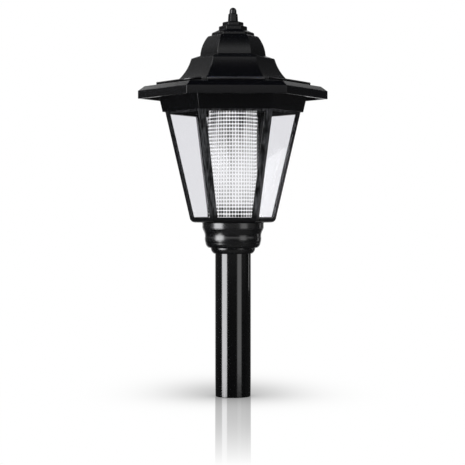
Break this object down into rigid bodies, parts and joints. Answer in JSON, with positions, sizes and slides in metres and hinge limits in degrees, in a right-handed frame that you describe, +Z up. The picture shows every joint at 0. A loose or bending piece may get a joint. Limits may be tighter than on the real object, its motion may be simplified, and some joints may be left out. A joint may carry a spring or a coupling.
{
  "type": "garden lantern on a pole",
  "caption": "Six-sided solar garden lantern in a victorian street-lamp style: clear panes, prismatic light tube, lift-off roof and short round pole.",
  "frame": {"origin": "centre of the pole's lower end, on the surface it stands on", "axes": "+Z up along the pole; two corners of the lantern lie on the X axis; a flat side faces -Y, the picture's front"},
  "size_m": [0.1324, 0.1146, 0.2704],
  "materials": {
    "black_plastic": "black moulded plastic, satin gloss",
    "pole_lacquer": "gloss black lacquer on thin steel tube",
    "clear_pane": "clear polished plastic",
    "prism_plastic": "clear plastic with fine prisms",
    "solar_glass": "dark cell under gloss resin",
    "plated_steel": "zinc plated",
    "soft_rubber": "matt",
    "cell_can": "plain shrink sleeve on a metal can",
    "board_laminate": "satin varnish",
    "lamp_resin": "clear resin",
    "switch_case": "matt",
    "wire_sleeve": "soft sleeve"
  },
  "bodies": {
    "root": {"pole": "pole_lacquer", "neck_socket": "black_plastic", "neck_screws": "plated_steel", "cage_frame": "black_plastic", "pane_1": "clear_pane", "pane_2": "clear_pane", "pane_3": "clear_pane", "pane_4": "clear_pane", "pane_5": "clear_pane", "pane_6": "clear_pane", "diffuser": "prism_plastic", "top_collar": "black_plastic", "collar_screws": "plated_steel"},
    "cap": {"roof_shell": "black_plastic", "solar_panel_1": "solar_glass", "solar_panel_2": "solar_glass", "solar_panel_3": "solar_glass", "solar_panel_4": "solar_glass", "solar_panel_5": "solar_glass", "solar_panel_6": "solar_glass", "underplate": "black_plastic", "base_screws": "plated_steel", "gasket": "soft_rubber", "battery": "cell_can", "contact_plate": "plated_steel", "contact_spring": "plated_steel", "battery_door": "black_plastic", "door_screw": "plated_steel", "circuit_board": "board_laminate", "board_screws": "plated_steel", "led": "lamp_resin", "switch_body": "switch_case", "panel_wiring": "wire_sleeve", "battery_leads": "wire_sleeve"},
    "switch": {"switch_slider": "black_plastic"}
  },
  "joints": [
    {"name": "cap_lift", "type": "slide", "parent": "root", "child": "cap", "axis": [0, 0, 1], "range_m": [0, 0.05]},
    {"name": "switch_slide", "type": "slide", "parent": "cap", "child": "switch", "axis": [1, 0, 0], "range_m": [0, 0.002]}
  ]
}
